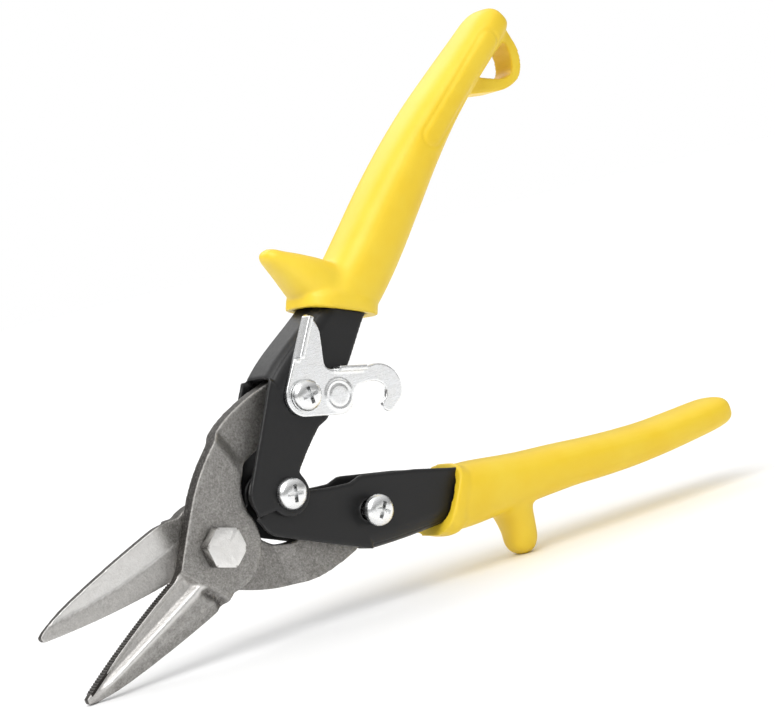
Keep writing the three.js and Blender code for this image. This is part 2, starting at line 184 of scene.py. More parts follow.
def remesh(piece, voxel):
    modifier = piece.modifiers.new("remesh", "REMESH")
    modifier.mode = "VOXEL"
    modifier.voxel_size = voxel
    return settle(piece)


def points_of(piece):
    points = np.empty(len(piece.data.vertices) * 3)
    piece.data.vertices.foreach_get("co", points)
    return points.reshape(-1, 3)


def move_points(piece, points):
    piece.data.vertices.foreach_set("co", np.asarray(points, np.float32).ravel())
    piece.data.update()


def relax(piece, passes, weight=1.0, keep_size=True):
    """Evens the mesh out. Every second pass pushes back, so that the piece doesn't shrink."""
    ends = np.empty(len(piece.data.edges) * 2, np.int64)
    piece.data.edges.foreach_get("vertices", ends)
    a, b = ends.reshape(-1, 2).T
    points = points_of(piece)
    count = np.bincount(np.r_[a, b], minlength=len(points))[:, None]
    weight = np.broadcast_to(np.asarray(weight, float), (len(points),))[:, None]
    for k in range(passes):
        total = np.empty_like(points)
        for axis in range(3):
            pulled = np.r_[points[b, axis], points[a, axis]]
            total[:, axis] = np.bincount(np.r_[a, b], pulled, len(points))
        strength = -0.42 if keep_size and k % 2 else 0.4
        points += strength * weight * (total / count - points)
    move_points(piece, points)
    return piece


def ease(value, low, high):
    """0 below low, 1 above high, smooth between."""
    share = np.clip((value - low) / (high - low), 0, 1)
    return share * share * (3 - 2 * share)


def paint(piece, name, values):
    """Stores one number per point, for the piece's material to read."""
    layer = piece.data.attributes.new(name, "FLOAT", "POINT")
    layer.data.foreach_set("value", np.asarray(values, np.float32))


def copy_of(node, name):
    """A CAD node's shape, as a new piece in the drawing plane."""
    mesh = frame["nodes"][node].data.copy()
    mesh.materials.clear()
    mesh.transform(DRAWING.inverted())
    piece = bpy.data.objects.new(name, mesh)
    bpy.context.scene.collection.objects.link(piece)
    shape = bmesh.new()
    shape.from_mesh(mesh)
    bmesh.ops.remove_doubles(shape, verts=shape.verts, dist=1e-3)
    shape.to_mesh(mesh)
    shape.free()
    return piece


# %% [markdown]
# A finished piece is carried into the frame, given its material and attached to the body it moves
# with, and the CAD node it stands for is hidden.

# %% Finishing a piece
def finish(piece, node, body, material, sharp=40):
    piece.data.transform(DRAWING)
    piece.data.polygons.foreach_set("use_smooth", [True] * len(piece.data.polygons))
    piece.data.set_sharp_from_angle(angle=math.radians(sharp))
    piece.data.materials.clear()
    piece.data.materials.append(material)
    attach(piece, body)
    if node:
        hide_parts(node)
    print(piece.name, "points", len(piece.data.vertices))
    return piece


# %% [markdown]
# Shader maths reads best as ordinary expressions. This class wraps a socket. Numbers combine through
# Math nodes, vectors through Vector Math, and colours through Mix, and node() adds any other node.

# %% A socket that can be calculated with
class Wire:
    def __init__(self, tree, socket=None):
        self.tree = tree
        self.socket = socket

    def node(self, kind, inputs=None, output=0, stops=None, **settings):
        made = self.tree.nodes.new(kind)
        for name, value in settings.items():
            setattr(made, name, value)
        for k, (place, shade) in enumerate(stops or []):
            stop = made.color_ramp.elements[k] if k < 2 else made.color_ramp.elements.new(place)
            stop.position = place
            stop.color = (*shade, 1) if isinstance(shade, tuple) else (shade, shade, shade, 1)
        for name, value in (inputs or {}).items():
            if isinstance(value, Wire):
                self.tree.links.new(value.socket, made.inputs[name])
            else:
                made.inputs[name].default_value = value
        return Wire(self.tree, made.outputs[output] if made.outputs else None)

    def _pair(self, word, first, second):
        kinds = [value.socket.type for value in (first, second) if isinstance(value, Wire)]
        if "RGBA" in kinds:
            inputs = {0: 1.0, 6: first, 7: second}
            return self.node("ShaderNodeMix", inputs, 2, data_type="RGBA", blend_type=word)
        if "VECTOR" in kinds:
            pair = {k: v if isinstance(v, (Wire, tuple)) else (v, v, v) for k, v in ((0, first), (1, second))}
            return self.node("ShaderNodeVectorMath", pair, operation=word)
        return self.node("ShaderNodeMath", {0: first, 1: second}, operation=word)

    def __add__(self, other):
        return self._pair("ADD", self, other)

    def __radd__(self, other):
        return self._pair("ADD", other, self)

    def __sub__(self, other):
        return self._pair("SUBTRACT", self, other)

    def __rsub__(self, other):
        return self._pair("SUBTRACT", other, self)

    def __mul__(self, other):
        return self._pair("MULTIPLY", self, other)

    def __rmul__(self, other):
        return self._pair("MULTIPLY", other, self)

    def between(self, low, high):
        """0 to 1 as this value goes from low to high."""
        inputs = {"Value": self, "From Min": low, "From Max": high}
        return self.node("ShaderNodeMapRange", inputs, clamp=True)

    def blend(self, first, second):
        """The first colour where this value is 0, and the second where it is 1."""
        first, second = [(*c, 1) if isinstance(c, tuple) else c for c in (first, second)]
        return self.node("ShaderNodeMix", {0: self, 6: first, 7: second}, 2, data_type="RGBA")


def new_material(name, **constants):
    """A material, its shader node and a first wire: the point in millimetres."""
    material = bpy.data.materials.new(name)
    material.use_nodes = True
    shader = material.node_tree.nodes["Principled BSDF"]
    for socket, value in constants.items():
        shader.inputs[socket.replace("_", " ")].default_value = value
    start = Wire(material.node_tree)
    point = start.node("ShaderNodeTexCoord", output="Object") * (1 / MM)
    return material, shader, point


def noise(point, scale, detail=3.0, roughness=0.55):
    """Soft noise whose features are about 1 / scale millimetres across."""
    inputs = {"Vector": point, "Scale": scale, "Detail": detail, "Roughness": roughness}
    return point.node("ShaderNodeTexNoise", inputs)


def bump(height, depth, strength=1.0):
    """A normal from a height between 0 and 1 that is depth millimetres deep."""
    return height.node("ShaderNodeBump", {"Height": height, "Distance": depth * MM, "Strength": strength})


def feed(shader, **wires):
    for socket, wire in wires.items():
        wire.tree.links.new(wire.socket, shader.inputs[socket.replace("_", " ")])


# %% [markdown]
# The blades are forged, sand-blasted and then ground where they slide and cut. One number stored on
# each point, "shine", sets how light the steel is painted. Part of it says how much of the blast is
# left: the blasted faces a mottled grey, and the ground lands bright. Part of it is painted light: a
# painted highlight on the ridge, and painted shade in the valley, on the ridge's lower slope and its
# chamfer and on the tang's inner face. The sheared walls are painted dark, partly as dark scale and
# partly as painted shade. Fine grain in the colour and the bump makes the blasted skin, and it fades
# where the steel is ground.

# %% Forged steel
def forged_steel():
    material, shader, point = new_material("forged steel", Metallic=1.0)
    shine = point.node("ShaderNodeAttribute", output="Fac", attribute_name="shine")
    mottle = noise(point, 0.5, 4)
    grain = noise(point, 1.6, 5, 0.75)
    level = shine + (mottle - 0.5) * 0.2 + (grain - 0.5) * 1.05 * (1 - shine * 0.8)
    stops = [(0.0, (0.036, 0.033, 0.03)), (1.0, (0.86, 0.85, 0.83))]
    stops += [(0.14, (0.075, 0.069, 0.063)), (0.4, (0.31, 0.3, 0.285)), (0.7, (0.62, 0.605, 0.585))]
    colour = level.node("ShaderNodeValToRGB", {"Fac": level}, stops=stops)
    polish = shine.between(0.5, 1.0)
    roughness = 0.5 + (grain - 0.5) * 0.2 - polish * 0.12
    skin = (grain + noise(point, 1.1, 3)) * (1 - polish * 0.5) * 0.5
    feed(shader, Base_Color=colour, Roughness=roughness, Normal=bump(skin, 0.3, 0.9))
    return material


# %% [markdown]
# The handles have a satin black powder coat: nearly black, with a faint orange peel. It rubs thin
# on the edges, which Pointiness finds, because the even meshes make it a fair guide to edges.

# %% Black coat
def black_coat():
    material, shader, point = new_material("black powder coat", Metallic=0.0, IOR=1.43)
    edge = point.node("ShaderNodeNewGeometry", output="Pointiness").between(0.53, 0.6)
    dust = noise(point, 2.6, 5, 0.7).between(0.66, 0.8)
    worn = edge * noise(point, 0.8, 4).between(0.42, 0.62)
    level = worn * 0.5 + dust * 0.12
    colour = level.blend((0.0095, 0.0095, 0.01), (0.15, 0.146, 0.142))
    roughness = 0.42 + (noise(point, 1.1, 2) - 0.5) * 0.18 - worn * 0.08
    feed(shader, Base_Color=colour, Roughness=roughness, Normal=bump(noise(point, 1.7, 2), 0.05, 0.5))
    return material


# %% [markdown]
# The latch and the screws are zinc plated: bright, a little blue, with faint cloudy stains and
# fine rubbed scratches. Stretching the noise along one axis turns grain into scratches.

# %% Zinc plate
def zinc_plate():
    material, shader, point = new_material("bright zinc", Metallic=1.0)
    cloud = noise(point, 0.35, 4)
    rubbed = noise(point * (0.25, 1.0, 2.4), 0.8, 2)
    colour = cloud.between(0.3, 0.7).blend((0.85, 0.85, 0.84), (0.92, 0.93, 0.94))
    roughness = 0.2 + cloud * 0.08 + rubbed.between(0.45, 0.75) * 0.1
    feed(shader, Base_Color=colour, Roughness=roughness, Normal=bump(rubbed, 0.012, 0.5))
    return material


# %% [markdown]
# The spring, the bushes and the spacers are dark oiled steel, with brighter rubs.

# %% Oiled steel
def oiled_steel():
    material, shader, point = new_material("oiled spring steel", Metallic=1.0)
    cloud = noise(point, 0.9, 4)
    colour = cloud.between(0.35, 0.75).blend((0.05, 0.05, 0.052), (0.2, 0.195, 0.19))
    feed(shader, Base_Color=colour, Roughness=0.36 + cloud * 0.14, Normal=bump(noise(point, 3, 3), 0.03, 0.5))
    return material


# %% [markdown]
# The grips are moulded vinyl in a warm yellow. Vinyl lets a little light in, so its colour shifts
# slightly over the surface, and the mould leaves a faint satin grain.

# %% Yellow vinyl
def yellow_vinyl():
    material, shader, point = new_material("yellow vinyl", Metallic=0.0, IOR=1.46)
    cloud = noise(point, 0.06, 3)
    grain = noise(point, 2.4, 3, 0.6)
    colour = (cloud.between(0.3, 0.7) * 0.8 + grain * 0.2).blend((0.84, 0.57, 0.02), (0.87, 0.64, 0.05))
    roughness = 0.43 + (grain - 0.5) * 0.12
    feed(shader, Base_Color=colour, Roughness=roughness, Normal=bump(grain, 0.035, 0.4))
    return material


FORGED, COAT, ZINC = forged_steel(), black_coat(), zinc_plate()
OILED, VINYL = oiled_steel(), yellow_vinyl()
print("materials", [m.name for m in (FORGED, COAT, ZINC, OILED, VINYL)])

# %% [markdown]
# A blade is one forging: a jaw, a round hub for the bolt, and a tang that steps sideways into the
# handle. It could be cut from many solids, but a forging has no such seams. So its outline is
# made a plate, remeshed, and each point's depth is then worked out from where it lies: a rim, a
# hollow, a rounded ridge and a chamfer across the jaw, and the step of the tang.

# %% The blade's outline and its heights
PLATE = 5.5
TANG_HALF = 2.7
HUB_RADIUS = 13.8
JAW_ROOT = -17.0
JAW_LENGTH = 40.6
# Radii of the holes. The far tang's is wider, because its pin is the one pivot without a joint.
BOLT_HOLE, TANG_HOLE, CLEARANCE_HOLE = 5, 3.3, 3.9


def cutting_edge(x):
    """Height of the cutting edge, which bows slightly upwards."""
    share = (JAW_ROOT - x) / JAW_LENGTH
    return 0.1 - 6.8 * share - 3.2 * share * share


blade_outline = trace(
    (-57.6, cutting_edge(-57.6)),
    [(x, cutting_edge(x)) for x in np.linspace(-56, JAW_ROOT, 24)],
    (-15.6, 0.5, -14.2, 1.6),
    (-7, 8.8, 0, 15.1),
    (9.5, 23.6, 22, 27.4),
    (30, 29.8, 45.4, 28.3),
    arc(ANCHOR, 7.6, 1.7, -1.9),
    (34, 15.2, 26, 14.6),
    (19.4, 14.4, 16.4, 10.4),
    (14.2, 7.4, HUB_RADIUS * math.cos(0.2), HUB_RADIUS * math.sin(0.2)),
    arc(BOLT, HUB_RADIUS, 0.2, -1.85),
    (-7.5, -15.0, -13, -15.1),
    (-30, -15.1, -44, -14.1),
    (-49, -13.7, -52.8, -13.1),
    (-56.9, -12.6, -58.0, -11.4),
)


def blade_relief(x, z):
    """The blade's outer height, how far its inner face is cut back, and its shine, which holds painted
    highlight and painted shade, at each point.
    """
    below = cutting_edge(x) - z
    foot = cutting_edge(x) + 11.6 + 0.02 * (x - JAW_ROOT)
    ridge_at = below - (cutting_edge(x) + 6.25 + 0.117 * (JAW_ROOT - x))
    half = np.interp(x, [-56, -46, -30, -16], [0.9, 1.1, 1.5, 1.9])
    hollow = 1 - ease(-x, 48, 56)
    rise_to_ridge = ease(ridge_at, -half, -0.3 * half) * hollow
    fall = ease(ridge_at, 0.15 * half, 1.1 * half) * hollow
    chamfer = ease(below, foot - 0.4, foot + 2.2)
    jaw = 3.7 - 0.55 * ease(below, 0.6, 1.3) * hollow + 2.3 * rise_to_ridge - 0.75 * fall - 1.2 * chamfer
    jaw = jaw * np.interp(x, [-58, -44, -20], [0.8, 0.95, 1])
    step_x = np.interp(z, [-14.6, -12.5, -8.1, -4.8, -2.3, 2], [-7.1, -6.9, -8.9, -11.4, -12.9, -14.4])
    on_jaw = ease(step_x - x, -0.6, 0.9)
    valley = np.exp(-(((step_x - x - 1.7) / 1.2) ** 2)) * ease(-z, 5.5, 8)
    hub = PLATE * (1 - on_jaw) + (jaw - 1.2 * valley) * on_jaw
    stepped = ease(x + 0.12 * (z - 14), 17.6, 22.6)
    outer = hub * (1 - stepped) + TANG_HALF * stepped
    land = np.interp(x, [-57, -50, -42, -30, -20, -11], [-13.3, -11.7, -9.9, -8.1, -7.4, -7.3])
    cut_back = 0.3 * ease(land - z, 0, 0.5) * ease(-3 - x, 0, 2)
    # The ridge is painted brighter along its crest: a painted highlight.
    ridge_painted_highlight = 0.22 * rise_to_ridge * (1 - fall)
    # Painted shade: the ridge's lower slope, the chamfer and the valley are painted darker than the jaw's
    # ground finish.
    bright = 0.43 + on_jaw * (0.19 - 0.14 * fall + ridge_painted_highlight - 0.06 * chamfer - 0.2 * valley)
    return outer, cut_back, bright


# %% [markdown]
# Both blades come from the same forging, so one function makes them, and the far one is turned
# over. Walls between the two faces are painted dark: partly the scale left by the trimming press,
# partly painted shade on the sides.

# %% The two blades
def blade(name, node, body, pin_hole, turned):
    piece = prism(name, blade_outline, -PLATE, 0)
    cut(piece, rod(BOLT, BOLT_HOLE, -9, 9))
    cut(piece, rod(ANCHOR, pin_hole, -9, 9))
    relax(remesh(piece, 0.4), 6)
    points = points_of(piece)
    x, z = points[:, 0], points[:, 2]
    depth = -points[:, 1] / PLATE
    outer, cut_back, bright = blade_relief(x, z)
    tang = ease(x + 0.12 * (z - 14), 16.4, 21.4)
    inner = (-0.15 - cut_back) * (1 - tang) + TANG_HALF * tang
    points[:, 1] = inner + depth * (-outer - inner)
    wall = ease(depth, 0.05, 0.16) * ease(-depth, -0.93, -0.86)
    inner_face = ease(-depth, -0.3, 0)
    # Inner faces are brighter where the jaws slide and are ground; the lower level behind them is partly
    # blast finish and partly painted shade on the tang inside the handle.
    inner_grind_and_shade = 0.39 + ease(-x, 8, 14) * (0.22 + 0.28 * ease(cut_back, 0.05, 0.25))
    bright = bright * (1 - inner_face) + inner_grind_and_shade * inner_face
    if turned:
        points[:, 1:] *= -1
    move_points(piece, points)
    relax(piece, 4)
    relax(piece, 2, keep_size=False)
    # The walls are painted dark: partly scale from the trimming press, partly painted shade on the sides.
    paint(piece, "shine", bright * (1 - wall) + 0.13 * wall)
    return finish(piece, node, body, FORGED, 60)


blade("near_blade_forging", "near_blade", "lower_jaw", TANG_HOLE, turned=False)
blade("far_blade_forging", "far_blade", "upper_jaw", CLEARANCE_HOLE, turned=True)

# %% [markdown]
# Fine teeth are cut across the near jaw's edge so that it grips the sheet. They are too fine for
# the remeshed blade, so they are a strip of their own, let into the edge: a zigzag outline
# thickened across the jaw.

# %% The serrated edge
TOOTH = 0.85


def serration():
    crest, root = 0.28, 0.02
    count = int((JAW_LENGTH - 1.5) / TOOTH)
    top = []
    for k in range(count):
        x = JAW_ROOT - 0.4 - k * TOOTH
        top.append((x, cutting_edge(x) + root))
        top.append((x - TOOTH / 2, cutting_edge(x - TOOTH / 2) + crest))
    bottom = [(x, cutting_edge(x) - 0.7) for x in (top[-1][0], -45, -35, -25, top[0][0])]
    strip = prism("near_blade_serration", top + bottom, -3.25, -0.17)
    # The tooth crests are painted lighter, a painted highlight, and the rest of the strip nearly black,
    # painted shade between the teeth.
    paint(strip, "shine", [0.3 if v.co.z > cutting_edge(v.co.x) + 0.15 else 0.0 for v in strip.data.vertices])
    return finish(strip, None, "lower_jaw", FORGED, 20)


serration()

# %% [markdown]
# A handle is sheet steel pressed into a channel. The CAD channel has square corners; a pressed one
# is bent round a radius. Near the back of the channel each point is moved from its square ring
# about the bend's centre to the circle of the same size, which gives the inside and the outside of
# the sheet their own radii and keeps its thickness. The tail, which is hidden in the grip, is
# narrowed so that it stays inside the vinyl.

# %% Pressed handles
# Stations of the grips: x, z, half depth and half width. The lower grip is drawn turned over.
UPPER_GRIP = [
    (64, 29.2, 9.6, 11.2),
    (76, 33.0, 9.8, 11.4),
    (86.5, 36.6, 9.5, 11.3),
    (98, 42.0, 9.3, 11.3),
    (112, 49.3, 8.7, 11.4),
    (126, 56.2, 7.7, 11.4),
    (140, 62.2, 6.7, 11.2),
    (155, 67.4, 5.9, 10.7),
    (168, 71.4, 5.6, 10),
    (174.5, 73.6, 5.4, 9.2),
    (178, 74.8, 4.6, 8.2),
    (179.6, 75.3, 3.2, 6),
]
LOWER_GRIP = [
    (64, 33.0, 9.0, 11.0),
    (76, 37.4, 9.7, 11.2),
    (84, 40.4, 9.5, 11.2),
    (90.7, 43.1, 8.9, 11.2),
    (102, 47.8, 7.9, 11.3),
    (115.8, 53.3, 7.1, 11.3),
    (127, 58.2, 6.7, 11.2),
    (138.5, 62.9, 6.3, 11.0),
    (151, 67.4, 5.8, 10.6),
    (163.3, 71.2, 5.5, 10.1),
    (173, 74.0, 5.2, 9.4),
    (177.6, 75.2, 4.6, 8.3),
    (179.6, 75.7, 3.4, 6.2),
]
BEND = 5.0
WEB_FRONT, WEB_BACK = 41.4, 69.0


def web_height(x):
    """Height of the channel's back above the centre line, along its visible stretch."""
    curve = trace((WEB_FRONT, 31.2), (54, 36.6, WEB_BACK, 40.9))
    xs, zs = np.array(curve).T
    return np.interp(x, xs, zs)


def pressed_handle(name, node, body, outside, side, stations, drop):
    piece = copy_of(node, name)
    relax(remesh(piece, 0.5), 6)
    points = points_of(piece)
    x, y, z = points[:, 0], points[:, 1], points[:, 2] * side
    z = z - drop * ease(x, 43, 68) * ease(z, 26, 36)
    slope = math.cos(math.radians(20))
    inward = BEND - (outside - np.abs(y))
    upward = BEND - (web_height(x) - drop * ease(x, 43, 68) - z) * slope
    reach = np.hypot(inward, upward)
    ring = np.maximum(inward, upward)
    corner = (inward > 0) & (upward > 0) & (x > WEB_FRONT - 1) & (x < WEB_BACK + 4)
    fade = ease(x, WEB_FRONT - 0.8, WEB_FRONT + 0.4) * (1 - ease(x, WEB_BACK, WEB_BACK + 4))
    scale = np.where(corner, 1 + (ring / np.maximum(reach, 0.1) - 1) * fade, 1)
    new_inward, new_upward = inward * scale, upward * scale
    points[:, 1] = np.sign(y) * np.where(corner, outside - BEND + new_inward, np.abs(y))
    points[:, 2] = side * np.where(corner, z + (new_upward - upward) / slope, z)
    hidden = 0.35 * ease(0.643 * (x - 72) + 0.766 * (z - 34), 1.5, 8)
    points[:, 1] *= 1 - hidden
    line = np.array(stations)
    middle = side * np.interp(x, line[:, 0], line[:, 1])
    points[:, 2] += (middle - points[:, 2]) * hidden
    move_points(piece, points)
    relax(piece, 6)
    return finish(piece, node, body, COAT, 60)


pressed_handle(
    "upper_handle_pressing", "upper_handle", "upper_side",
    outside=9.3, side=1, stations=UPPER_GRIP, drop=2.0,
)
pressed_handle(
    "lower_handle_pressing", "lower_handle", "lower_side",
    outside=7.4, side=-1, stations=LOWER_GRIP, drop=0,
)

# %% [markdown]
# The latch is a zinc-plated stamping: a thumb arm with a lip turned out, a hook, and a coined disc.
# The CAD shape is right, so it is remeshed finely and relaxed, which gives the tumbled edges of a
# stamping, and a ring is pressed into the disc.

# %% The latch
def latch():
    piece = copy_of("latch", "latch_stamping")
    relax(remesh(piece, 0.26), 30)
    relax(piece, 3, keep_size=False)
    points = points_of(piece)
    disc = np.hypot(points[:, 0] - ANCHOR[0] - 9.6, points[:, 2] - ANCHOR[1] + 6.4)
    near_face = points[:, 1] < points[:, 1].max() - 1
    points[:, 1] += np.where(near_face, 0.22 * np.exp(-(((disc - 3.5) / 0.4) ** 2)), 0)
    move_points(piece, points)
    return finish(piece, "latch", "latch_lever", ZINC, 60)


latch()

# %% [markdown]
# Screws and nuts are turned and forged to standard shapes. A pan head is a lathe profile with a
# tapered cross punched in it. A hexagon is cut by a cone, which leaves the curved edges that a
# real nut or bolt head has. Threads show only where a screw stands out of its nut, as fine rings.

# %% Screws, nuts and the blade bolt
def cross_recess(centre, face, turn):
    """A cross of two bars, tapering as it goes in, as a cutter."""
    pieces = []
    for quarter in (0, 1):
        angle = math.radians(turn + 90 * quarter)
        ring = []
        for long, wide, y in ((2.75, 0.62, face - 0.3), (2.5, 0.55, face + 0.6), (1.2, 0.42, face + 2.3)):
            for sx, sz in ((1, 1), (-1, 1), (-1, -1), (1, -1)):
                u, w = sx * long, sz * wide
                x = centre[0] + u * math.cos(angle) - w * math.sin(angle)
                ring.append((x, y, centre[1] + u * math.sin(angle) + w * math.cos(angle)))
        faces = [(0, 1, 2, 3), (8, 9, 10, 11)]
        faces += [(r + k, r + (k + 1) % 4, r + 4 + (k + 1) % 4, r + 4 + k) for r in (0, 4) for k in range(4)]
        pieces.append(solid("recess", ring, faces))
    return combine(pieces[0], pieces[1])


def pan_screw(node, body, centre, shank, turn):
    low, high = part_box(node)
    face, tip = low.y / MM, high.y / MM
    back = face + 2.9
    thread = []
    y = tip - 0.5
    while y > tip - 4.6:
        thread += [(shank, y), (shank - 0.3, y - 0.35)]
        y -= 0.7
    profile = [(0.01, face), (2.2, face + 0.02), (3.5, face + 0.35), (4.35, face + 1.0), (4.75, face + 1.9)]
    profile += [(4.8, back - 0.15), (4.7, back), (shank, back)]
    profile += thread[::-1] + [(shank - 0.5, tip), (0.01, tip)]
    piece = cut(lathe(node + "_turned", centre, profile), cross_recess(centre, face, turn))
    return finish(piece, node, body, ZINC, 35)


# The cone that cuts a hexagon: the round face it leaves, as a share of the flats, and its slope.
FACE_SHARE, CONE_SLOPE = 0.496, 0.36


def hexagon(name, centre, flats, near, far, chamfered, turn=0.0):
    """A hexagon whose named ends, "near" or "far", are cut by a cone."""
    corner = flats / math.sqrt(3)
    angles = [math.radians(turn + 60 * k) for k in range(6)]
    outline = [(centre[0] + corner * math.cos(a), centre[1] + corner * math.sin(a)) for a in angles]
    wide, face = corner + 0.3, FACE_SHARE * flats
    drop = CONE_SLOPE * (wide - face)
    near_end = [(face, near), (wide, near + drop)] if "near" in chamfered else [(wide, near)]
    far_end = [(wide, far - drop), (face, far)] if "far" in chamfered else [(wide, far)]
    profile = [(0.01, near)] + near_end + far_end + [(0.01, far)]
    return combine(prism(name, outline, near, far), lathe("cone", centre, profile), "INTERSECT")


def nut(node, body, centre, flats, bore, material, slot):
    low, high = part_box(node)
    near, far = low.y / MM, high.y / MM
    piece = hexagon(node + "_forged", centre, flats, near, far, ("near", "far"))
    countersink = [(0.01, near - 1), (bore + 1.4, near - 1), (bore, near + 0.5), (bore, far - 0.5)]
    countersink += [(bore + 1.4, far + 1), (0.01, far + 1)]
    cut(piece, lathe("bore", centre, countersink))
    if slot == "forged_steel":
        paint(piece, "shine", [0.42] * len(piece.data.vertices))
    return finish(piece, node, body, material, 30)


SMALL_FLATS, BOLT_NUT_FLATS, BOLT_HEAD_FLATS = 9.5, 12.7, 11.4
SCREW_BORE, CATCH_BORE, BOLT_BORE = 3.3, 2.9, 5.0
pan_screw("handle_pivot_screw", "upper_side", PIVOT, shank=3, turn=62)
pan_screw("latch_screw", "upper_side", ANCHOR, shank=3, turn=78)
pan_screw("catch_screw", "lower_side", CATCH, shank=2.6, turn=37)
nut("handle_pivot_nut", "upper_side", PIVOT, SMALL_FLATS, SCREW_BORE, ZINC, "bright_zinc")
nut("latch_screw_nut", "upper_side", ANCHOR, SMALL_FLATS, SCREW_BORE, ZINC, "bright_zinc")
nut("catch_screw_nut", "lower_side", CATCH, SMALL_FLATS, CATCH_BORE, ZINC, "bright_zinc")
nut("blade_bolt_nut", "lower_jaw", BOLT, BOLT_NUT_FLATS, BOLT_BORE, FORGED, "forged_steel")


def blade_bolt():
    low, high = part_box("blade_bolt")
    face, tip = low.y / MM, high.y / MM
    back = face + 4.2
    piece = hexagon("blade_bolt_forged", BOLT, BOLT_HEAD_FLATS, face, back, ("near",), turn=-36.6)
    thread = []
    y = tip - 0.7
    while y > 2:
        thread += [(4.7, y), (4.3, y - 0.5)]
        y -= 1.0
    shank = [(0.01, back - 1), (4.7, back - 1)] + thread[::-1] + [(4.0, tip), (0.01, tip)]
    combine(piece, lathe("shank", BOLT, shank))
    bright = [0.97 if v.co.y < face + 0.25 else 0.24 for v in piece.data.vertices]
    paint(piece, "shine", bright)
    return finish(piece, "blade_bolt", "lower_jaw", FORGED, 25)


blade_bolt()

# %% [markdown]
# The washer, the sleeve and the four spacers are plain rings with broken edges.

# %% Rings
def ring(node, body, centre, outer, inner, material, slot):
    low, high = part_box(node)
    near, far, edge = low.y / MM, high.y / MM, 0.25
    profile = [(inner, near + edge), (inner + edge, near), (outer - edge, near), (outer, near + edge)]
    profile += [(outer, far - edge), (outer - edge, far), (inner + edge, far), (inner, far - edge)]
    piece = lathe(node + "_turned", centre, profile)
    if slot == "forged_steel":
        paint(piece, "shine", [0.5] * len(piece.data.vertices))
    return finish(piece, node, body, material, 30)


WASHER_RADIUS, SLEEVE_RADIUS, SPACER_RADIUS = 8, 4.2, 5
ring("blade_bolt_washer", "lower_jaw", BOLT, WASHER_RADIUS, BOLT_BORE, FORGED, "forged_steel")
ring("handle_pivot_sleeve", "upper_side", PIVOT, SLEEVE_RADIUS, SCREW_BORE, OILED, "spring_steel")
tangs = (("upper", ANCHOR, "upper_side", SCREW_BORE), ("lower", CATCH, "lower_side", CATCH_BORE))
for place, centre, body, bore in tangs:
    for end in ("near", "far"):
        ring(f"{place}_tang_spacer_{end}", body, centre, SPACER_RADIUS, bore, OILED, "spring_steel")

# %% [markdown]
# The spring is wire wound round the sleeve, with one leg lying in each handle. It is a round
# tube swept along its centre line.

# %% The torsion spring
def torsion_spring():
    radius, wire, half, leg = 5.9, 0.75, 4.25, 11.0
    turned = 2 * math.pi * (4 + 104 / 360)
    start = math.radians(-128)
    route = []
    for k in range(161):
        angle = start - turned * k / 160
        y = half * (2 * k / 160 - 1)
        route.append(Vector((PIVOT[0] + radius * math.cos(angle), y, PIVOT[1] + radius * math.sin(angle))))
    reach = Vector((leg * math.cos(0.663), 0, leg * math.sin(0.663)))
    first = [route[0] + Vector((reach.x, 0, -reach.z)) * s for s in (1, 0.66, 0.33)]
    last = [route[-1] + reach * s for s in (0.33, 0.66, 1)]
    route = first + route + last
    sides, vertices = 14, []
    for k, here in enumerate(route):
        ahead = (route[min(k + 1, len(route) - 1)] - route[max(k - 1, 0)]).normalized()
        side = ahead.cross(Vector((0, 1, 0))).normalized()
        over = side.cross(ahead)
        for j in range(sides):
            turn = 2 * math.pi * j / sides
            vertices.append(here + wire * (side * math.cos(turn) + over * math.sin(turn)))
    faces = [tuple(range(sides)), tuple(range(len(vertices) - sides, len(vertices)))]
    for k in range(len(route) - 1):
        for j in range(sides):
            a, b = k * sides + j, k * sides + (j + 1) % sides
            faces.append((a, b, b + sides, a + sides))
    piece = solid("handle_spring_wound", vertices, faces)
    piece.data.transform(DRAWING)
    piece.data.polygons.foreach_set("use_smooth", [True] * len(piece.data.polygons))
    piece.data.materials.append(OILED)
    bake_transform(piece)
    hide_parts("handle_spring")


torsion_spring()

# %% [markdown]
# A grip is moulded vinyl over the handle's tail: a slim oval body, a thin flange round its slanting
# mouth and a finger guard that flows out of it. Stations along its centre line give the body. The
# flange and the guard are joined on, and relaxing the guard's root much more than the rest makes
# the wide fillets of a moulding.

# %% Grip body, flange and guards
def smooth_stations(stations, parts=5):
    """Stations between the given ones, on a smooth curve through them all."""
    given = np.array(stations, float)
    padded = np.vstack([2 * given[0] - given[1], given, 2 * given[-1] - given[-2]])
    between = []
    for k in range(1, len(given)):
        a, b, c, d = padded[k - 1:k + 3]
        for t in np.arange(parts) / parts:
            square_term = (2 * a - 5 * b + 4 * c - d) * t**2
            cube_term = (3 * b - a - 3 * c + d) * t**3
            between.append(0.5 * (2 * b + (c - a) * t + square_term + cube_term))
    return between + [given[-1]]


def loft(name, stations, sides=48, squareness=0.7):
    """A rounded square section carried along stations of x, z, half depth and half width."""
    vertices = []
    for k, (x, z, half, width) in enumerate(stations):
        before, after = stations[max(k - 1, 0)], stations[min(k + 1, len(stations) - 1)]
        slope = math.atan2(after[1] - before[1], after[0] - before[0])
        for j in range(sides):
            turn = 2 * math.pi * (j + 0.5) / sides
            up, out = math.sin(turn), math.cos(turn)
            up = math.copysign(abs(up) ** squareness, up) * half
            out = math.copysign(abs(out) ** squareness, out) * width
            vertices.append((x - up * math.sin(slope), out, z + up * math.cos(slope)))
    faces = [tuple(range(sides)), tuple(range(len(vertices) - sides, len(vertices)))]
    for k in range(len(stations) - 1):
        for j in range(sides):
            a, b = k * sides + j, k * sides + (j + 1) % sides
            faces.append((a, b, b + sides, a + sides))
    return solid(name, vertices, faces)


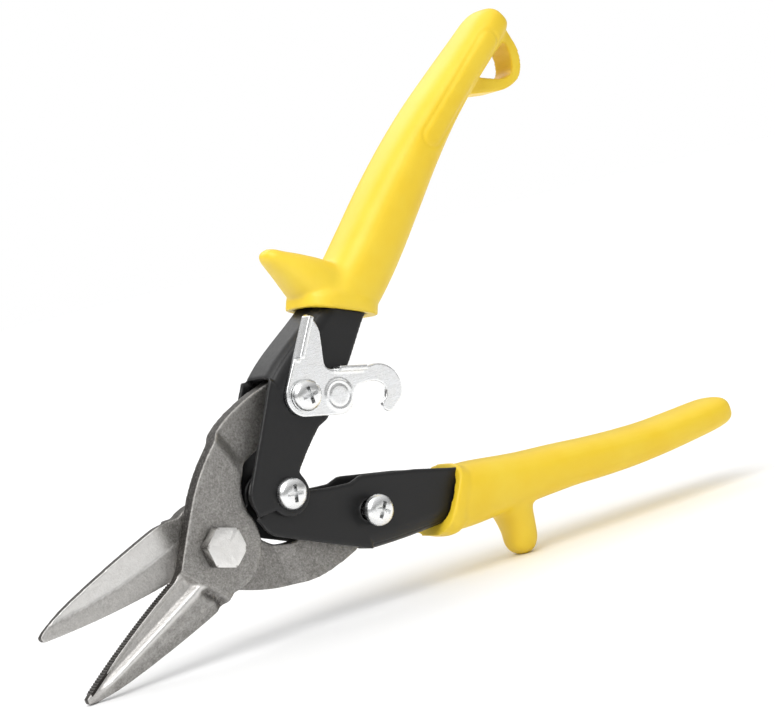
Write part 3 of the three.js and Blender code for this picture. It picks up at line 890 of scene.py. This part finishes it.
UPPER_FLANGE = [(74.6, 32.3, 12.5, 11.9), (76.8, 34.9, 12.5, 11.9), (78.2, 36.5, 10.6, 11.1)]
LOWER_FLANGE = [(71.8, 34.5, 11.2, 11.4), (74.0, 37.1, 11.2, 11.4), (75.4, 38.7, 10.0, 10.6)]
UPPER_GUARD = [
    (76.4, 39, 8.4, 9.8),
    (73.4, 45.0, 7.3, 9.6),
    (70.6, 50.6, 5.2, 8.2),
    (68.0, 55.3, 3.3, 6.1),
    (66.5, 58.2, 2.3, 4.4),
    (65.9, 59.7, 1.2, 2.4),
]
LOWER_GUARD = [
    (92.6, 42, 8.2, 9.8),
    (93.0, 48.5, 6.3, 9.2),
    (92.0, 54.5, 5.3, 7.8),
    (90.7, 59.5, 4.8, 6.6),
    (89.2, 63.2, 4.7, 5.7),
    (88.5, 65.7, 3.4, 4.5),
    (88.2, 67.0, 1.7, 2.5),
]
LOOP_HALF_WIDTH = 5
loop_outline = trace(
    (151, 62.4), (163.5, 56.4), (170, 53.4, 174.4, 55.6), (178.6, 58.4, 179.4, 65), (178.8, 74), (168, 70)
)
loop_hole = trace((160.5, 63.4), (166, 59.6), (170.6, 56.6, 173, 58.2), (175.8, 60.6, 176.4, 67.6))

# %% [markdown]
# The mouth is hollow, and the handle goes into it. On the upper grip a long panel with round ends
# is pressed into the near side, where a maker would put a name; here it is left plain.

# %% The two grips
def mouth_pocket(half_width, out, thinner):
    stations = [(56, 25.5, 9.8), (66, 29.4, 9.6), (72, 31.6, 9.2), (78, 34.0, 8.4), (82, 35.6, 6.6)]
    return loft("pocket", [(x, z + out, half - thinner, half_width) for x, z, half in stations])


def ahead_of(flange):
    """Everything in front of the mouth, as a cutter."""
    x, z = flange[0][:2]
    outline = [(x - 23, z + 19.3), (x - 40, z + 25), (40, 8), (70, 8), (x + 23, z - 19.3)]
    return prism("ahead", outline, -30, 30)


def press_panel(points):
    """A shallow groove with round ends along the near side of the grip."""
    start, end, half = np.array([131, 58.6]), np.array([168, 71.4]), 3.3
    flat = points[:, [0, 2]]
    share = np.clip((flat - start) @ (end - start) / ((end - start) @ (end - start)), 0, 1)
    away = np.linalg.norm(flat - start - share[:, None] * (end - start), axis=1)
    groove = 0.32 * np.exp(-(((away - half) / 0.55) ** 2)) - 0.12 * ease(half - away, 0, 1)
    points[:, 1] += np.where(points[:, 1] < -6, groove, 0)
    return points


def grip(name, node, body, stations, flange, guard, pocket, upper):
    piece = loft(name, smooth_stations(stations))
    cut(piece, ahead_of(flange))
    combine(piece, loft("flange", flange, squareness=0.6))
    combine(piece, loft("guard", smooth_stations(guard), squareness=0.85))
    if upper:
        loop = prism("loop", loop_outline, -LOOP_HALF_WIDTH, LOOP_HALF_WIDTH)
        combine(piece, cut(loop, prism("hole", loop_hole, -9, 9)))
    cut(piece, pocket)
    relax(remesh(piece, 0.6), 8)
    points = points_of(piece)
    root = (guard[1][0] + 3, guard[1][1] + 1)
    behind_flange = ease(0.643 * (points[:, 0] - flange[1][0]) + 0.766 * (points[:, 2] - flange[1][1]), 1, 4)
    close = 1 - ease(np.hypot(points[:, 0] - root[0], points[:, 2] - root[1]), 7, 18)
    relax(piece, 150, weight=close * behind_flange)
    relax(piece, 30, weight=close * behind_flange, keep_size=False)
    points = points_of(piece)
    if upper:
        points = press_panel(points)
    else:
        points[:, 1:] *= -1
    move_points(piece, points)
    return finish(piece, node, body, VINYL, 80)


upper_pocket = mouth_pocket(half_width=9.9, out=0, thinner=0)
lower_pocket = mouth_pocket(half_width=8.4, out=2.2, thinner=1.5)
upper_shapes = (UPPER_GRIP, UPPER_FLANGE, UPPER_GUARD, upper_pocket)
lower_shapes = (LOWER_GRIP, LOWER_FLANGE, LOWER_GUARD, lower_pocket)
grip("upper_grip_moulding", "upper_grip", "upper_side", *upper_shapes, upper=True)
grip("lower_grip_moulding", "lower_grip", "lower_side", *lower_shapes, upper=False)

# %% [markdown]
# The tool stands on a plain pale floor. The room is a bright white overhead with darker sides,
# because bare steel only looks like steel when it has something dark to reflect. What the camera
# sees behind the floor is plain white.

# %% Floor and room
def pale_floor():
    size = 6.0
    corners = [(-size, -size, 0), (size, -size, 0), (size, size, 0), (-size, size, 0)]
    piece = solid("floor", corners, [(0, 1, 2, 3)])
    material, shader, point = new_material("pale floor", Roughness=0.6)
    tint = noise(point, 0.002, 2)
    feed(shader, Base_Color=tint.blend((0.93, 0.93, 0.93), (0.95, 0.95, 0.95)))
    piece.data.materials.append(material)


def white_room():
    world = bpy.data.worlds.new("studio")
    world.use_nodes = True
    bpy.context.scene.world = world
    tree = world.node_tree
    tree.nodes.clear()
    start = Wire(tree)
    look = start.node("ShaderNodeTexCoord", output="Generated")
    height = look.node("ShaderNodeSeparateXYZ", {"Vector": look}, "Z")
    level = height.between(-0.2, 1.0)
    stops = [(0.0, 0.55), (1.0, 0.98), (0.3, 0.29), (0.6, 0.64)]
    sky = level.node("ShaderNodeValToRGB", {"Fac": level}, stops=stops)
    seen = start.node("ShaderNodeLightPath", output="Is Camera Ray")
    colour = seen.blend(sky, (1.0, 1.0, 1.0))
    background = start.node("ShaderNodeBackground", {"Color": colour, "Strength": 1.0})
    start.node("ShaderNodeOutputWorld", {"Surface": background})


pale_floor()
white_room()

# %% [markdown]
# A wide sun, high on the left in front, lights the tool and the whole floor evenly, so the floor
# has no visible end, and its wide disc gives the soft, faint shadows. A soft box behind puts a
# light edge on the metal.

# %% Soft lights
def soft_box(name, place, target, size, power):
    light = bpy.data.lights.new(name, "AREA")
    light.shape = "RECTANGLE"
    light.size, light.size_y = size
    light.energy = power
    lamp = bpy.data.objects.new(name, light)
    bpy.context.scene.collection.objects.link(lamp)
    lamp.location = place
    lamp.rotation_euler = (Vector(target) - Vector(place)).to_track_quat("-Z", "Y").to_euler()


def soft_sun(direction, strength, spread):
    light = bpy.data.lights.new("sun", "SUN")
    light.energy = strength
    light.angle = math.radians(spread)
    lamp = bpy.data.objects.new("sun", light)
    bpy.context.scene.collection.objects.link(lamp)
    lamp.rotation_euler = Vector(direction).to_track_quat("-Z", "Y").to_euler()


soft_sun((0.6, 0.3, -0.8), 2.0, 50)
soft_box("back", (0.1, 0.9, 0.8), (0, 0, 0.08), (0.9, 0.4), 2)
bpy.context.scene.view_settings.view_transform = "Standard"

# %% [markdown]
# The camera looks a little down on the latch side through a long lens, and it is tilted to the
# right, which makes the lower handle climb across the picture.

# %% Camera
AIM = Vector((0.0054, 0.0003, 0.071))
DISTANCE = 0.7614
HEADING, DOWN, ROLL = 32.08, 3.6, -13.73
LENS, SENSOR = 116.1, 36.0


def camera():
    lens = bpy.data.cameras.new("camera")
    lens.lens, lens.sensor_width = LENS, SENSOR
    lens.clip_start, lens.clip_end = 0.05, 50
    turn = Matrix.Rotation(math.radians(-HEADING), 4, "Z")
    turn @= Matrix.Rotation(math.radians(90 - DOWN), 4, "X")
    turn @= Matrix.Rotation(math.radians(ROLL), 4, "Z")
    eye = bpy.data.objects.new("camera", lens)
    bpy.context.scene.collection.objects.link(eye)
    eye.matrix_world = Matrix.Translation(AIM + turn.to_3x3() @ Vector((0, 0, DISTANCE))) @ turn
    bpy.context.scene.camera = eye
    print("camera at", [round(c, 3) for c in eye.matrix_world.translation])


camera()
